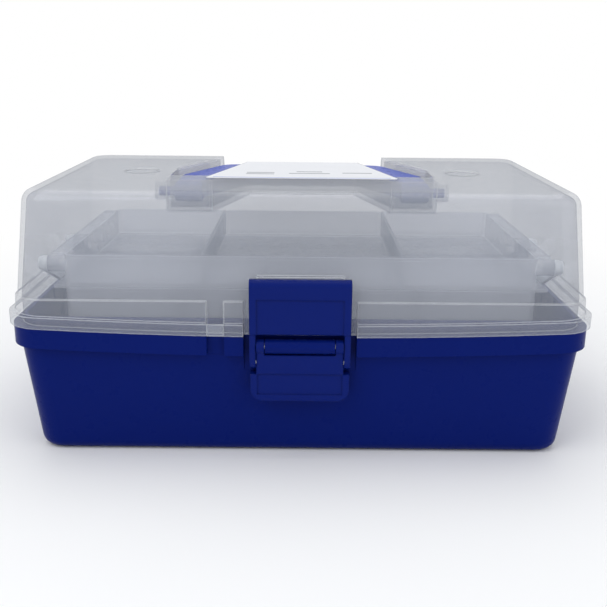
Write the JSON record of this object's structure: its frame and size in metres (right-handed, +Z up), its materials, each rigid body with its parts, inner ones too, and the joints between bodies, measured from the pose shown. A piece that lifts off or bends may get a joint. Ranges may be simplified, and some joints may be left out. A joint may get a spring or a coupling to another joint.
{
  "type": "tackle box",
  "caption": "Tackle box with a clear hinged lid, folding carry handle, front draw latch, deep blue base and stacked divided trays that rise on side arms.",
  "frame": {"origin": "middle of the base's resting face", "axes": "+X along the box's length, +Z up, the latch faces -Y"},
  "size_m": [0.33, 0.2102, 0.153],
  "materials": {
    "base_plastic": "gloss",
    "handle_plastic": "gloss",
    "lid_plastic": "translucent",
    "tray_plastic": "translucent",
    "arm_plastic": "gloss",
    "pin_steel": "brushed",
    "label_paper": "matte"
  },
  "bodies": {
    "base": {"base_tub": "base_plastic", "base_arm_rivets": "arm_plastic", "hinge_pin_left": "pin_steel", "hinge_pin_right": "pin_steel", "lever_pin": "pin_steel"},
    "lid": {"lid_shell": "lid_plastic", "lid_label": "label_paper", "handle_pin_left": "handle_plastic", "handle_pin_right": "handle_plastic"},
    "handle": {"carry_handle": "handle_plastic"},
    "lever": {"latch_lever": "base_plastic", "claw_pin": "pin_steel"},
    "claw": {"latch_claw": "base_plastic"},
    "front_arms": {"front_arm_left": "arm_plastic", "front_arm_right": "arm_plastic"},
    "rear_arms": {"rear_arm_left": "arm_plastic", "rear_arm_right": "arm_plastic"},
    "lower_tray_body": {"lower_tray": "tray_plastic", "lower_tray_rivets": "arm_plastic"},
    "upper_tray_body": {"upper_tray": "tray_plastic", "upper_tray_rivets": "arm_plastic"}
  },
  "joints": [
    {"name": "lid_hinge", "type": "hinge", "parent": "base", "child": "lid", "pos_m": [0, 0.104, 0.072], "axis": [-1, 0, 0], "range_deg": [0, 105]},
    {"name": "handle_hinge", "type": "hinge", "parent": "lid", "child": "handle", "pos_m": [0, -0.009, 0.1417], "axis": [1, 0, 0], "range_deg": [0, 95]},
    {"name": "lever_hinge", "type": "hinge", "parent": "base", "child": "lever", "pos_m": [0, -0.098, 0.0693], "axis": [-1, 0, 0], "range_deg": [0, 100]},
    {"name": "claw_hinge", "type": "hinge", "parent": "lever", "child": "claw", "pos_m": [0, -0.098, 0.0601], "axis": [-1, 0, 0], "range_deg": [-105, 0]},
    {"name": "front_arm_hinge", "type": "hinge", "parent": "base", "child": "front_arms", "pos_m": [0, 0.02, 0.07], "axis": [-1, 0, 0], "range_deg": [0, 52.5]},
    {"name": "rear_arm_hinge", "type": "hinge", "parent": "base", "child": "rear_arms", "pos_m": [0, 0.08, 0.07], "axis": [-1, 0, 0], "range_deg": [0, 52.5]},
    {"name": "lower_tray_hinge", "type": "hinge", "parent": "front_arms", "child": "lower_tray_body", "pos_m": [0, -0.019, 0.088], "axis": [-1, 0, 0], "range_deg": [-52.5, 0]},
    {"name": "upper_tray_hinge", "type": "hinge", "parent": "front_arms", "child": "upper_tray_body", "pos_m": [0, -0.058, 0.106], "axis": [-1, 0, 0], "range_deg": [-52.5, 0]}
  ],
  "couplings": [
    {"joint": "claw_hinge", "follows": "lever_hinge", "ratio": -1.05},
    {"joint": "front_arm_hinge", "follows": "lid_hinge", "ratio": 0.5},
    {"joint": "rear_arm_hinge", "follows": "lid_hinge", "ratio": 0.5},
    {"joint": "lower_tray_hinge", "follows": "lid_hinge", "ratio": -0.5},
    {"joint": "upper_tray_hinge", "follows": "lid_hinge", "ratio": -0.5}
  ]
}
